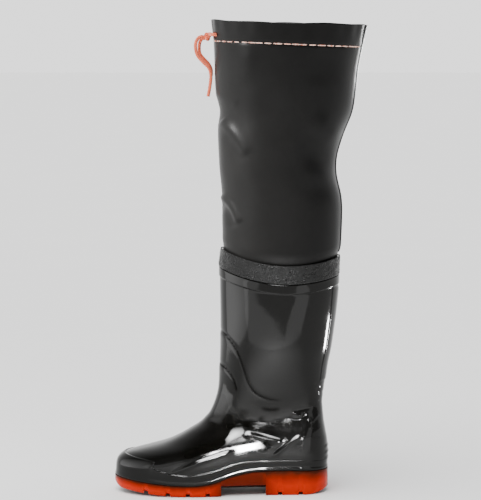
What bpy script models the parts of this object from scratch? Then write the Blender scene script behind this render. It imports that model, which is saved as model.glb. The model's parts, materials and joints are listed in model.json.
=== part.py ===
"""Left hip wader: a moulded rubber boot with a cloth thigh leg welded into its top.

Metres, +Z up, floor at z = 0. The toe points to -X and the outer (lateral) side faces -Y.
Inside the functions x runs from the toe tip back to the heel; place() moves it to the origin,
which is the middle of the whole wader's box at the floor.
"""
import math
from collections import namedtuple
from functools import lru_cache

import bmesh
import bpy
import numpy as np
from mathutils import Vector

# Driving sizes
LENGTH = 0.302            # outsole, toe to heel
BALL_WIDTH = 0.106        # outsole at the ball
HEEL_SEAT = 0.034         # floor to the top of the outsole at the heel
BOOT_TOP = 0.325          # floor to the middle of the joint between boot and leg
LEG_TOP = 0.6625          # floor to the front of the collar
CALF_WIDTH = 0.116        # boot shaft, side to side
COLLAR_WIDTH = 0.160      # collar, side to side
RUBBER_WALL = 0.0024
CLOTH_WALL = 0.0011
GAP = 0.0003              # between pieces that touch
STEP_RUN = 0.0012         # height over which a step in a wall is made

# Outsole
SIDE_LIP = 0.0008         # outsole beyond the upper at the sides
TOE_SPRING = 0.009
SPRING_LENGTH = 0.100
TOE_BEVEL_RISE = 0.006
TOE_BEVEL_LENGTH = 0.012
HEEL_BEVEL_RISE = 0.007
HEEL_BEVEL_LENGTH = 0.036
ARCH_START = 0.151
HEEL_BREAST = 0.2135
ARCH_EDGE = 0.0145        # floor to the lower edge of the arch
SHANK_HEIGHT = 0.0085     # floor to the underside of the arch in its middle
LUG_GAP = 0.006
LUG_DEPTH = 0.004
LUG_GAPS = (0.0460, 0.0767, 0.1047, 0.1322, 0.2335, 0.2625)
SIDE_TAPER = 0.003        # how far the outsole's side draws in towards the floor
EDGE_ROUND = 0.0012
RIB_HEIGHT = 0.0010
RIB_WIDTH = 0.0026
RIB_PITCH = 0.0068
RIB_COUNT = 4
RIB_START = 0.180
RIB_MARGIN = 0.0012        # no other cut this close to a rib
TREAD_EDGE = 0.74          # where the tread's side strip ends and its middle starts, as shares
TREAD_MIDDLE = 0.62        # of the tread's half width

# Insole
INSOLE_THICKNESS = 0.003
INSOLE_CLEARANCE = 0.0012

# Steps in the boot's wall
FOXING_STEP = 0.0010
TOE_GUARD_STEP = 0.0018
STAY_STEP = 0.0009
STAY_BOTTOM = 0.158
RIM_STEP = 0.0011
RIM_HEIGHT = 0.0140

# Joint between boot and leg
BAND_WIDTH = 0.026
BAND_THICKNESS = 0.0011
BAND_FRONT = 0.3458       # floor to the band's top edge at the shin
BAND_BACK = 0.3352        # and at the back
BAND_DIP = 0.0140         # how far that edge sags at the sides
BAND_LAP = 0.0012         # the band's top edge above the boot's
LEG_LAP = 0.026           # leg inside the boot
LEG_EASE = 0.016          # height over which the leg comes out to its own form
EASE_ROWS = (0.004, 0.010) # heights above the band's edge of the rows on the way

# Collar, back seam and drawstring
HEM_HEIGHT = 0.030
HEM_THICKNESS = 0.0011
SEAM_THICKNESS = 0.0010
SEAM_ANGLES = (171, 180, 189)
HOLE_RADIUS = 0.0026
HOLE_DROP = 0.0210        # below the collar's edge
HOLE_ANGLE = 17.5         # degrees from the front
CUTTER_REACH = 0.004      # how far the holes' cutters stand out on each side
CORD_DIAMETER = 0.0040
KNOT_SIZE = 0.0100

# Columns round the leg in degrees from the toe, the same on both sides. The close pairs are the
# rear edge of the toe guard and the edge of the back stay.
HALF_TURN = (0, 8, 16, 24, 32, 40, 47.2, 49.4, 57, 66, 75, 84, 93, 102, 111, 120, 130, 140,
             151.2, 154.2, 162, 171, 180)
GUARD_END = 48
STAY_EDGE = 153

# Sections from the feather line to the collar. Lengths along the foot are shares of LENGTH.
# A height up to 1 is a share of BOOT_TOP, and from 1 to 2 a share of the leg above it. foot is
# the width as a share of the foot's outline, nose the share of the section taken by its round
# front, oval the blend from foot to oval, and wide the oval's width: up to 1 a share of
# CALF_WIDTH, from 1 to 2 on the way to COLLAR_WIDTH. follow is how far it keeps the sole's line.
Section = namedtuple("Section", "front_x front_z back_x back_z foot nose oval wide follow")
SECTIONS = (
    Section(0.010, 0.074, 0.994, 0.102, 0.97, 0.24, 0.00, 0.62, 1.00),
    Section(0.011, 0.111, 0.998, 0.138, 1.00, 0.24, 0.00, 0.62, 0.96),
    Section(0.018, 0.142, 1.000, 0.172, 1.01, 0.25, 0.00, 0.62, 0.88),
    Section(0.040, 0.163, 0.998, 0.203, 1.00, 0.28, 0.00, 0.63, 0.76),
    Section(0.076, 0.178, 0.995, 0.234, 0.98, 0.32, 0.00, 0.63, 0.60),
    Section(0.124, 0.191, 0.990, 0.258, 0.96, 0.37, 0.00, 0.64, 0.45),
    Section(0.227, 0.218, 0.985, 0.285, 0.92, 0.44, 0.02, 0.64, 0.28),
    Section(0.298, 0.245, 0.980, 0.311, 0.88, 0.48, 0.07, 0.65, 0.14),
    Section(0.350, 0.271, 0.977, 0.338, 0.84, 0.50, 0.16, 0.66, 0.05),
    Section(0.397, 0.298, 0.974, 0.366, 0.80, 0.52, 0.30, 0.67, 0.00),
    Section(0.425, 0.324, 0.972, 0.394, 0.78, 0.54, 0.46, 0.68, 0.00),
    Section(0.448, 0.351, 0.974, 0.418, 0.76, 0.56, 0.62, 0.70, 0.00),
    Section(0.472, 0.404, 0.979, 0.455, 0.75, 0.58, 0.82, 0.74, 0.00),
    Section(0.486, 0.457, 0.986, 0.502, 0.75, 0.60, 0.95, 0.78, 0.00),
    Section(0.491, 0.535, 0.995, 0.563, 0.75, 0.60, 1.00, 0.85, 0.00),
    Section(0.495, 0.640, 1.012, 0.640, 0.75, 0.60, 1.00, 0.93, 0.00),
    Section(0.496, 0.748, 1.028, 0.748, 0.75, 0.60, 1.00, 0.98, 0.00),
    Section(0.495, 0.834, 1.037, 0.825, 0.75, 0.60, 1.00, 1.00, 0.00),
    Section(0.493, 0.920, 1.044, 0.908, 0.75, 0.60, 1.00, 1.00, 0.00),
    Section(0.493, 1.000, 1.046, 1.000, 0.75, 0.60, 1.00, 1.02, 0.00),
    Section(0.505, 1.092, 1.052, 1.092, 0.75, 0.60, 1.00, 1.08, 0.00),
    Section(0.506, 1.196, 1.053, 1.190, 0.75, 0.60, 1.00, 1.16, 0.00),
    Section(0.504, 1.281, 1.049, 1.275, 0.75, 0.60, 1.00, 1.22, 0.00),
    Section(0.492, 1.406, 1.026, 1.400, 0.75, 0.60, 1.00, 1.30, 0.00),
    Section(0.485, 1.530, 1.058, 1.522, 0.75, 0.60, 1.00, 1.46, 0.00),
    Section(0.491, 1.630, 1.100, 1.622, 0.75, 0.60, 1.00, 1.60, 0.00),
    Section(0.473, 1.720, 1.116, 1.710, 0.75, 0.60, 1.00, 1.72, 0.00),
    Section(0.470, 1.815, 1.127, 1.803, 0.75, 0.60, 1.00, 1.82, 0.00),
    Section(0.466, 1.898, 1.143, 1.880, 0.75, 0.60, 1.00, 1.90, 0.00),
    Section(0.456, 2.000, 1.162, 1.976, 0.75, 0.60, 1.00, 2.00, 0.00),
)
TOP_LEVEL = len(SECTIONS) - 1

# The foot's outline before its ends are rounded: half widths as shares of half BALL_WIDTH.
Outline = namedtuple("Outline", "along outer inner")
FOOT_OUTLINE = (
    Outline(0.00, 0.82, 0.90), Outline(0.10, 0.87, 0.95), Outline(0.20, 0.95, 1.00),
    Outline(0.30, 1.00, 1.00), Outline(0.40, 1.00, 0.93), Outline(0.50, 0.93, 0.81),
    Outline(0.60, 0.84, 0.71), Outline(0.70, 0.77, 0.68), Outline(0.80, 0.74, 0.70),
    Outline(0.90, 0.72, 0.71), Outline(1.00, 0.70, 0.70),
)
TOE_ROUND = 0.24          # share of LENGTH
HEEL_ROUND = 0.14
ROUND_POWER = 2.25

# The outsole's top line: shares of LENGTH and of HEEL_SEAT.
SoleLine = namedtuple("SoleLine", "along height")
SOLE_TOP = (
    SoleLine(0.00, 0.70), SoleLine(0.10, 0.63), SoleLine(0.20, 0.54), SoleLine(0.30, 0.48),
    SoleLine(0.38, 0.47), SoleLine(0.46, 0.57), SoleLine(0.55, 0.83), SoleLine(0.63, 0.98),
    SoleLine(0.75, 1.03), SoleLine(0.88, 1.02), SoleLine(1.00, 0.98),
)

# The foxing's edge above the sole line: shares of LENGTH and of HEEL_SEAT, and how strong it is.
Foxing = namedtuple("Foxing", "along rise strength")
FOXING = (
    Foxing(0.172, 0.66, 1.0), Foxing(0.25, 0.50, 1.0), Foxing(0.34, 0.44, 1.0),
    Foxing(0.44, 0.52, 1.0), Foxing(0.54, 0.52, 0.9), Foxing(0.62, 0.48, 0.6),
    Foxing(0.70, 0.44, 0.3), Foxing(1.00, 0.42, 0.3),
)
TOE_GUARD_RISE = 0.90     # the guard's edge above the sole line, a share of HEEL_SEAT

# Where the boot's plain rows lie between the foxing and the rim, as shares of that height.
BOOT_ROWS = (0.035, 0.075, 0.115, 0.155, 0.195, 0.235, 0.275, 0.315, 0.355, 0.395, 0.44, 0.485,
             0.53, 0.58, 0.64, 0.70, 0.77, 0.84, 0.92)
LEG_ROWS = (0.06, 0.15, 0.25, 0.35, 0.42, 0.50, 0.58, 0.66, 0.74, 0.83, 0.91)

# The cord's routes: how far before the front of the collar, to the outer side, and below its edge.
LEAD = ((-0.0075, 0.0232, 0.0212), (-0.0043, 0.0246, 0.0212), (-0.0018, 0.0220, 0.0212),
        (-0.0007, 0.0160, 0.0211), (0.0009, 0.0100, 0.0208), (0.0025, 0.0051, 0.0205))
KNOT = (0.0038, 0.0, 0.0205)
LONG_TAIL = ((0.0090, 0.0005, 0.0205), (0.0130, 0.0012, 0.0202), (0.0175, 0.0018, 0.0235),
             (0.0210, 0.0024, 0.0305), (0.0216, 0.0026, 0.0390), (0.0186, 0.0028, 0.0495),
             (0.0103, 0.0030, 0.0600), (0.0030, 0.0030, 0.0675), (0.0006, 0.0030, 0.0770),
             (0.0016, 0.0030, 0.0910), (0.0046, 0.0034, 0.1055))
SHORT_TAIL = ((0.0066, -0.0014, 0.0250), (0.0105, -0.0028, 0.0290), (0.0135, -0.0036, 0.0360),
              (0.0126, -0.0038, 0.0450), (0.0080, -0.0038, 0.0540), (0.0032, -0.0036, 0.0630),
              (0.0012, -0.0036, 0.0700), (0.0010, -0.0038, 0.0765))

Look = namedtuple("Look", "colour roughness")
RUBBER = Look((0.012, 0.012, 0.013), 0.14)
ORANGE = Look((0.74, 0.09, 0.015), 0.22)
CLOTH = Look((0.020, 0.019, 0.020), 0.46)
BAND = Look((0.014, 0.014, 0.014), 0.60)
FELT = Look((0.045, 0.045, 0.045), 0.90)
CORD = Look((0.80, 0.20, 0.09), 0.75)


def clear_scene():
    for item in list(bpy.data.objects):
        bpy.data.objects.remove(item, do_unlink=True)


def material(name, look):
    """A plain principled material with the piece's colour and roughness."""
    made = bpy.data.materials.new(name)
    made.use_nodes = True
    shader = made.node_tree.nodes["Principled BSDF"]
    shader.inputs["Base Color"].default_value = (*look.colour, 1.0)
    shader.inputs["Roughness"].default_value = look.roughness
    shader.inputs["Metallic"].default_value = 0.0
    return made


@lru_cache(maxsize=None)
def as_rows(table):
    return np.asarray(table, dtype=float)


def smooth(table, position):
    """Catmull-Rom value of a table's row at a fractional row number."""
    rows = as_rows(table)
    low = int(min(max(math.floor(position), 0), len(rows) - 2))
    t = position - low
    before, start = rows[max(low - 1, 0)], rows[low]
    end, after = rows[low + 1], rows[min(low + 2, len(rows) - 1)]
    return start + 0.5 * t * (end - before + t * (
        2 * before - 5 * start + 4 * end - after + t * (3 * (start - end) + after - before)))


def along_table(table, along):
    """Smooth value of a table whose first column is the place along the foot."""
    places = [row.along for row in table]
    return smooth(table, float(np.interp(along, places, range(len(table)))))


def rounded_end(share):
    """Width of a round end, from 0 at its tip to 1."""
    share = min(max(share, 0.0), 1.0)
    return (1 - (1 - share) ** ROUND_POWER) ** (1 / ROUND_POWER)


def half_outline(x, side):
    """Half width of the foot at x, without its rounded ends; side is -1 outer, 1 inner."""
    row = along_table(FOOT_OUTLINE, min(max(x / LENGTH, 0.0), 1.0))
    return BALL_WIDTH / 2 * (row[1] if side < 0 else row[2])


def section_height(value):
    if value <= 1:
        return value * BOOT_TOP
    return BOOT_TOP + (value - 1) * (LEG_TOP - BOOT_TOP)


def section_width(value):
    if value <= 1:
        return value * CALF_WIDTH
    return CALF_WIDTH + (value - 1) * (COLLAR_WIDTH - CALF_WIDTH)


def seat_x(theta):
    """The feather line's x at an angle round the foot."""
    first = SECTIONS[0]
    return LENGTH * (first.front_x + (first.back_x - first.front_x) * (1 - math.cos(theta)) / 2)


SEAT_STATIONS = [seat_x(math.radians(angle)) for angle in HALF_TURN]
SEAT_HEIGHTS = [HEEL_SEAT * float(along_table(SOLE_TOP, x / LENGTH)[1]) for x in SEAT_STATIONS]


def sole_top(x):
    """Height of the outsole's top, straight between the feather line's own stations."""
    return float(np.interp(x, SEAT_STATIONS, SEAT_HEIGHTS))


@lru_cache(maxsize=None)
def surface(theta, level):
    """A point of the wader's outer form: theta from the toe over the outer side, level a row."""
    row = Section(*smooth(SECTIONS, level))
    side = -1 if theta % (2 * math.pi) < math.pi else 1
    share = (1 - math.cos(theta)) / 2
    front, back = row.front_x * LENGTH, row.back_x * LENGTH
    x = front + (back - front) * share
    foot = row.foot * half_outline(x, side)
    foot *= rounded_end(share / row.nose) * rounded_end((1 - share) / HEEL_ROUND)
    oval = section_width(row.wide) / 2 * abs(math.sin(theta))
    y = side * ((1 - row.oval) * foot + row.oval * oval)
    low, high = section_height(row.front_z), section_height(row.back_z)
    chord = SEAT_HEIGHTS[0] + (SEAT_HEIGHTS[-1] - SEAT_HEIGHTS[0]) * share
    z = low + (high - low) * share + row.follow * (sole_top(x) - chord)
    return Vector((x, y, z))


def shell_point(theta, level, offset):
    """The surface moved along its outward normal."""
    turn, rise = math.radians(1.5), 0.05
    down, up = max(level - rise, 0.0), min(level + rise, float(TOP_LEVEL))
    across = surface(theta + turn, level) - surface(theta - turn, level)
    upward = surface(theta, up) - surface(theta, down)
    normal = across.cross(upward).normalized()
    return surface(theta, level) + normal * offset


@lru_cache(maxsize=None)
def level_at(theta, height):
    """The level at which a column of the surface reaches a height."""
    low, high = 0.0, float(TOP_LEVEL)
    for _ in range(18):
        middle = (low + high) / 2
        if surface(theta, middle).z < height:
            low = middle
        else:
            high = middle
    return (low + high) / 2


def columns():
    """The angles of all columns, once round."""
    half = [math.radians(angle) for angle in HALF_TURN]
    return half + [2 * math.pi - angle for angle in reversed(half[1:-1])]


def turned_back(theta):
    """Angle from the toe, 0 to 180 degrees, whichever side."""
    angle = math.degrees(theta) % 360
    return min(angle, 360 - angle)


def place(point):
    """From toe-based x to the wader's own origin."""
    back = SECTIONS[-1].back_x * LENGTH + GAP + SEAM_THICKNESS
    return Vector((point[0] - back / 2, point[1], point[2]))


def ring_solid(name, rings, look):
    """A closed solid from rings of equal length, the last joined to the first."""
    mesh = bmesh.new()
    rows = [[mesh.verts.new(place(point)) for point in ring] for ring in rings]
    count = len(rows[0])
    for row, following in zip(rows, rows[1:] + rows[:1]):
        for i in range(count):
            j = (i + 1) % count
            mesh.faces.new((row[i], row[j], following[j]))
            mesh.faces.new((row[i], following[j], following[i]))
    return add_mesh(name, mesh, look)


def stack_solid(name, rings, look):
    """A closed solid from rings of equal length, its two ends filled."""
    mesh = bmesh.new()
    rows = [[mesh.verts.new(place(point)) for point in ring] for ring in rings]
    count = len(rows[0])
    for row, following in zip(rows, rows[1:]):
        for i in range(count):
            j = (i + 1) % count
            mesh.faces.new((row[i], row[j], following[j]))
            mesh.faces.new((row[i], following[j], following[i]))
    mesh.faces.new(list(reversed(rows[0])))
    mesh.faces.new(rows[-1])
    return add_mesh(name, mesh, look)


def add_mesh(name, mesh, look):
    bmesh.ops.recalc_face_normals(mesh, faces=mesh.faces)
    data = bpy.data.meshes.new(name)
    mesh.to_mesh(data)
    mesh.free()
    data.shade_smooth()
    data.set_sharp_from_angle(angle=math.radians(40))
    data.materials.append(material(name, look))
    item = bpy.data.objects.new(name, data)
    bpy.context.scene.collection.objects.link(item)
    return item


def edge_height(theta, drop):
    """A height on the joint: the band's top edge less a drop, sagging at the sides."""
    share = (1 - math.cos(theta)) / 2
    line = BAND_FRONT + (BAND_BACK - BAND_FRONT) * share
    return line - BAND_DIP * 4 * share * (1 - share) - drop


def foxing_edge(theta):
    """Height of the foxing's or toe guard's edge in a column, and its step."""
    x = seat_x(theta)
    if turned_back(theta) < GUARD_END:
        return sole_top(x) + TOE_GUARD_RISE * HEEL_SEAT, TOE_GUARD_STEP
    places = [row.along for row in FOXING]
    rise = np.interp(x / LENGTH, places, [row.rise for row in FOXING])
    strength = np.interp(x / LENGTH, places, [row.strength for row in FOXING])
    return sole_top(x) + rise * HEEL_SEAT, strength * FOXING_STEP


def boot_column(theta):
    """Level and step of each outer row of the boot in one column, from the sole up."""
    edge, step = foxing_edge(theta)
    middle = (sole_top(seat_x(theta)) + edge) / 2
    rim_low = level_at(theta, edge_height(theta, BAND_WIDTH + RIM_HEIGHT))
    above = level_at(theta, edge + STEP_RUN)
    rows = [(0.0, step), (level_at(theta, middle), step), (level_at(theta, edge), step), (above, 0.0)]
    for share in BOOT_ROWS:
        level = above + (rim_low - above) * share
        on_stay = turned_back(theta) > STAY_EDGE and surface(theta, level).z > STAY_BOTTOM
        rows.append((level, STAY_STEP if on_stay else 0.0))
    stay = STAY_STEP if turned_back(theta) > STAY_EDGE else 0.0
    rim = [(BAND_WIDTH + RIM_HEIGHT, stay), (BAND_WIDTH + RIM_HEIGHT - STEP_RUN, RIM_STEP),
           (BAND_WIDTH + STEP_RUN, RIM_STEP), (BAND_WIDTH, 0.0), (BAND_LAP, 0.0)]
    rows += [(level_at(theta, edge_height(theta, drop)), height) for drop, height in rim]
    return rows


def seated(point):
    """A point of the upper's lowest edge, laid just above the outsole."""
    return Vector((point.x, point.y, sole_top(point.x) + GAP))


def boot_upper():
    """The hollow boot: outer rows with their steps, and every second row inside."""
    outer, inner = [], []
    for theta in columns():
        rows = boot_column(theta)
        column = [shell_point(theta, level, step) for level, step in rows]
        column[0] = seated(column[0])
        outer.append(column)
        kept = rows[0:1] + rows[2:-5:2] + rows[-5:-4] + rows[-2:]
        lining = [shell_point(theta, level, -RUBBER_WALL) for level, _ in kept]
        lining[0] = seated(lining[0])
        inner.append(lining)
    rings = [list(ring) for ring in zip(*outer)] + [list(ring) for ring in reversed(list(zip(*inner)))]
    return ring_solid("boot_upper", rings, RUBBER)


def leg_offset(theta, height):
    """How far the leg lies inside the outer form: under the boot's wall, then easing out."""
    top = edge_height(theta, BAND_LAP)
    share = min(max((height - top) / LEG_EASE, 0.0), 1.0)
    return -(RUBBER_WALL + GAP) * (1 - share * share * (3 - 2 * share))


def leg_column(theta):
    """Levels of the leg's rows in one column, from inside the boot to the collar."""
    drops = (LEG_LAP, BAND_LAP) + tuple(-rise for rise in EASE_ROWS)
    lap = [level_at(theta, edge_height(theta, drop)) for drop in drops]
    start = level_at(theta, edge_height(theta, -LEG_EASE))
    hem = level_at(theta, surface(theta, TOP_LEVEL).z - HEM_HEIGHT)
    plain = [start + (hem - start) * share for share in LEG_ROWS]
    return lap + [start] + plain + [hem, (hem + TOP_LEVEL) / 2, float(TOP_LEVEL)]


def leg_point(theta, level, offset):
    height = surface(theta, level).z
    return shell_point(theta, level, leg_offset(theta, height) + offset)


def hole_cutter(side):
    """A rod through the leg where the drawstring comes out."""
    theta = math.radians(HOLE_ANGLE) * -side
    level = level_at(theta, surface(theta, TOP_LEVEL).z - HOLE_DROP)
    outside = place(leg_point(theta, level, CUTTER_REACH))
    inside = place(leg_point(theta, level, -CUTTER_REACH))
    mesh = bmesh.new()
    bmesh.ops.create_cone(mesh, cap_ends=True, segments=12, radius1=HOLE_RADIUS,
                          radius2=HOLE_RADIUS, depth=(outside - inside).length)
    item = add_mesh("hole_cutter_outer" if side < 0 else "hole_cutter_inner", mesh, CORD)
    item.location = (outside + inside) / 2
    item.rotation_mode = "QUATERNION"
    item.rotation_quaternion = (outside - inside).to_track_quat("Z", "Y")
    item.hide_render = True
    item.display_type = "WIRE"
    return item


def thigh_leg():
    """The hollow cloth leg, with the drawstring's two holes cut near the front of its collar."""
    outer, inner = [], []
    for theta in columns():
        levels = leg_column(theta)
        outer.append([leg_point(theta, level, 0.0) for level in levels])
        inner.append([leg_point(theta, level, -CLOTH_WALL) for level in levels[::2] + levels[-1:]])
    if len(outer[0]) % 2:
        inner = [column[:-1] for column in inner]
    rings = [list(ring) for ring in zip(*outer)] + [list(ring) for ring in reversed(list(zip(*inner)))]
    leg = ring_solid("thigh_leg", rings, CLOTH)
    for side in (-1, 1):
        cut = leg.modifiers.new("drawstring_hole", "BOOLEAN")
        cut.operation = "DIFFERENCE"
        cut.solver = "EXACT"
        cut.object = hole_cutter(side)
    return leg


def joint_band():
    """The rough strip round the weld, over the boot's wall above its rim."""
    near, far = GAP, GAP + BAND_THICKNESS
    rings = []
    for offset, drops in ((far, (BAND_WIDTH - GAP, BAND_WIDTH / 2, 0.0)),
                          (near, (0.0, BAND_WIDTH / 2, BAND_WIDTH - GAP))):
        for drop in drops:
            rings.append([shell_point(theta, level_at(theta, edge_height(theta, drop)), offset)
                          for theta in columns()])
    return ring_solid("joint_band", rings, BAND)


def collar_hem():
    """The turned-in layer of the hem, inside the collar."""
    near = -(CLOTH_WALL + GAP)
    rings = []
    for offset, reverse in ((near, False), (near - HEM_THICKNESS, True)):
        stack = [[], [], []]
        for theta in columns():
            for row, level in zip(stack, leg_column(theta)[-3:]):
                row.append(leg_point(theta, level, offset))
        rings += list(reversed(stack)) if reverse else stack
    return ring_solid("collar_hem", rings, CLOTH)


def back_seam():
    """The lapped strip down the back of the leg, from the collar to the joint band."""
    angles = [math.radians(angle) for angle in SEAM_ANGLES]
    levels = [leg_column(theta)[3:] for theta in angles]
    rings = []
    for row in range(len(levels[0])):
        outside = [leg_point(theta, column[row], GAP + SEAM_THICKNESS)
                   for theta, column in zip(angles, levels)]
        inside = [leg_point(theta, column[row], GAP) for theta, column in zip(angles, levels)]
        rings.append(outside + list(reversed(inside)))
    return stack_solid("back_seam", rings, CLOTH)


def floor_line(x):
    """Height of the tread's lowest face along the outsole, at its edge and in its middle."""
    spring = TOE_SPRING * max(1 - x / SPRING_LENGTH, 0.0) ** 1.5
    spring += TOE_BEVEL_RISE * max(1 - x / TOE_BEVEL_LENGTH, 0.0) ** 2
    bevel_start = LENGTH - HEEL_BEVEL_LENGTH
    spring += HEEL_BEVEL_RISE * max((x - bevel_start) / HEEL_BEVEL_LENGTH, 0.0) ** 2
    if ARCH_START < x < HEEL_BREAST:
        return ARCH_EDGE, SHANK_HEIGHT
    return spring, spring


def outsole_stations():
    """Where the outsole is cut across, with the lug depth and rib height at each cut."""
    cuts = {}
    for share in (0.0015, 0.006, 0.016, 0.035, 0.07):
        cuts[LENGTH * share] = (0.0, 0.0)
        cuts[LENGTH * (1 - share)] = (0.0, 0.0)
    for x in SEAT_STATIONS:
        if LENGTH * 0.02 < x < LENGTH * 0.98:
            cuts[x] = (0.0, 0.0)
    edge = GAP / 2
    for middle in LUG_GAPS:
        low, high = middle - LUG_GAP / 2, middle + LUG_GAP / 2
        cuts = {x: cut for x, cut in cuts.items() if not low - edge < x < high + edge}
        cuts.update({low - edge: (0.0, 0.0), low + edge: (LUG_DEPTH, 0.0),
                     high - edge: (LUG_DEPTH, 0.0), high + edge: (0.0, 0.0)})
    for border in (ARCH_START, HEEL_BREAST):
        cuts = {x: cut for x, cut in cuts.items() if abs(x - border) > 4 * edge}
        cuts.update({border - edge: (0.0, 0.0), border + edge: (0.0, 0.0)})
    for i in range(RIB_COUNT):
        low = RIB_START + i * RIB_PITCH
        high = low + RIB_WIDTH
        cuts = {x: cut for x, cut in cuts.items() if not low - RIB_MARGIN < x < high + RIB_MARGIN}
        cuts.update({low - edge: (0.0, 0.0), low + edge: (0.0, RIB_HEIGHT),
                     high - edge: (0.0, RIB_HEIGHT), high + edge: (0.0, 0.0)})
    return sorted(cuts.items())


def outsole_width(x, side):
    """Half width of the outsole's top edge."""
    ends = rounded_end(x / (LENGTH * TOE_ROUND)) * rounded_end((LENGTH - x) / (LENGTH * HEEL_ROUND))
    return (SECTIONS[0].foot * half_outline(x, side) + SIDE_LIP) * ends


def outsole_half(x, side, lug, rib):
    """One side of the outsole's section, from the middle of its top to the middle below."""
    top = sole_top(x)
    edge, middle = floor_line(x)
    edge, middle = edge + lug, middle + lug
    wide = outsole_width(x, side)
    taper = min(SIDE_TAPER, wide * 0.25)
    soft = min(EDGE_ROUND, wide * 0.2)
    half_way = (top + edge) / 2
    profile = ((wide - soft, top), (wide, top - soft), (wide - taper / 2 + rib, half_way),
               (wide - taper + rib, edge + soft), (wide - taper - soft, edge),
               ((wide - taper) * TREAD_EDGE, edge), ((wide - taper) * TREAD_MIDDLE, middle))
    return [Vector((x, side * y, z)) for y, z in profile]


def outsole():
    rings = []
    for x, (lug, rib) in outsole_stations():
        outer = outsole_half(x, -1, lug, rib)
        inner = outsole_half(x, 1, lug, rib)
        rings.append(outer + list(reversed(inner)))
    return stack_solid("outsole", rings, ORANGE)


def insole():
    """A board inside the upper, as many points a side as the feather line has columns."""
    inset = -(RUBBER_WALL + INSOLE_CLEARANCE)
    rings = []
    for angle in HALF_TURN[1:-1]:
        theta = math.radians(angle)
        outer, inner = shell_point(theta, 0.0, inset), shell_point(-theta, 0.0, inset)
        low = [Vector((p.x, p.y, sole_top(p.x) + 2 * GAP)) for p in (outer, inner)]
        high = [point + Vector((0.0, 0.0, INSOLE_THICKNESS)) for point in low]
        rings.append([high[0], low[0], low[1], high[1]])
    return stack_solid("insole", rings, FELT)


def from_collar(ahead, aside, below):
    """A place given from the front of the collar's edge; aside is towards the outer side."""
    front = surface(0.0, TOP_LEVEL)
    return place((front.x - ahead, -aside, front.z - below))


def cord_tube(name, route):
    """A round cord along a smooth curve through its route's points."""
    points = tuple(tuple(point) for point in route)
    length = sum((Vector(b) - Vector(a)).length for a, b in zip(points, points[1:]))
    count = max(int(length / (CORD_DIAMETER * 0.9)), 6)
    curve = bpy.data.curves.new(name, "CURVE")
    curve.dimensions = "3D"
    curve.bevel_depth = CORD_DIAMETER / 2
    curve.bevel_resolution = 2
    curve.use_fill_caps = True
    spline = curve.splines.new("POLY")
    spline.points.add(count)
    for i, point in enumerate(spline.points):
        point.co = (*smooth(points, i / count * (len(points) - 1)), 1.0)
    curve.materials.append(material(name, CORD))
    item = bpy.data.objects.new(name, curve)
    bpy.context.scene.collection.objects.link(item)
    return item


def drawstring():
    """Two leads from the holes to the knot, the knot, and its two hanging ends."""
    for side, name in ((1, "drawstring_lead_outer"), (-1, "drawstring_lead_inner")):
        cord_tube(name, [from_collar(ahead, side * aside, below) for ahead, aside, below in LEAD])
    cord_tube("drawstring_tail_long", [from_collar(*point) for point in LONG_TAIL])
    cord_tube("drawstring_tail_short", [from_collar(*point) for point in SHORT_TAIL])
    mesh = bmesh.new()
    bmesh.ops.create_icosphere(mesh, subdivisions=2, radius=KNOT_SIZE / 2)
    knot = add_mesh("drawstring_knot", mesh, CORD)
    knot.location = from_collar(*KNOT)


def main():
    clear_scene()
    outsole()
    insole()
    boot_upper()
    thigh_leg()
    joint_band()
    collar_hem()
    back_seam()
    drawstring()


main()
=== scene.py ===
"""Looks of the left hip wader: dense shells, creases, stitches, cords and finishes on the frame.

Metres, the frame's own axes: toe to -X, outer side to -Y, floor at z = 0. Inside the shape
functions x runs from the toe tip back to the heel, and placed() moves it to the frame.
"""
import json
import math
from collections import namedtuple

import bmesh
import bpy
import numpy as np
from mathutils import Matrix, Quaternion, Vector

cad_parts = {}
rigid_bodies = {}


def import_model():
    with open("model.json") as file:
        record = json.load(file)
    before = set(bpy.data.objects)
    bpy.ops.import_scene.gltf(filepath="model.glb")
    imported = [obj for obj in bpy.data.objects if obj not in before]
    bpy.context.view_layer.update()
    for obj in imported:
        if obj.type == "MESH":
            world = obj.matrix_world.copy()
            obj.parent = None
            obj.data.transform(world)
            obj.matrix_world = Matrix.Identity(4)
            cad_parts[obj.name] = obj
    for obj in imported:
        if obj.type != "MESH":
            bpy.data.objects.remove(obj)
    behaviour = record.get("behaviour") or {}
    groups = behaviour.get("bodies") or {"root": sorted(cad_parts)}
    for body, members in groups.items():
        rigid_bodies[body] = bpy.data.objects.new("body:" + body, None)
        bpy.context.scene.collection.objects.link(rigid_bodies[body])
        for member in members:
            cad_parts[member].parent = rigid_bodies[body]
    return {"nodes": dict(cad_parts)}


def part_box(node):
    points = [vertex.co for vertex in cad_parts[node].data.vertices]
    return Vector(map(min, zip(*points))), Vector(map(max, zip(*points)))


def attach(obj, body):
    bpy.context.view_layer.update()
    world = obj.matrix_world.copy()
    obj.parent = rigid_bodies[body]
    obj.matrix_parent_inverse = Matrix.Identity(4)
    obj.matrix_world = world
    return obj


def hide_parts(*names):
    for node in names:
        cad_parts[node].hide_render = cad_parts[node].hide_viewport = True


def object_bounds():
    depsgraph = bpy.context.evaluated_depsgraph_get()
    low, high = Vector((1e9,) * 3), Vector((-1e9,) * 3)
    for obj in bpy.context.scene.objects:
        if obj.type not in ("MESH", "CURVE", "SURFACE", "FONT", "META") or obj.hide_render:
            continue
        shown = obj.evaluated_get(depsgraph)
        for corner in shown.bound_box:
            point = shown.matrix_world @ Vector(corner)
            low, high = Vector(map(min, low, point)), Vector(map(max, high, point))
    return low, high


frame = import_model()
CAD_LOW, CAD_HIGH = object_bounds()

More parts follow.
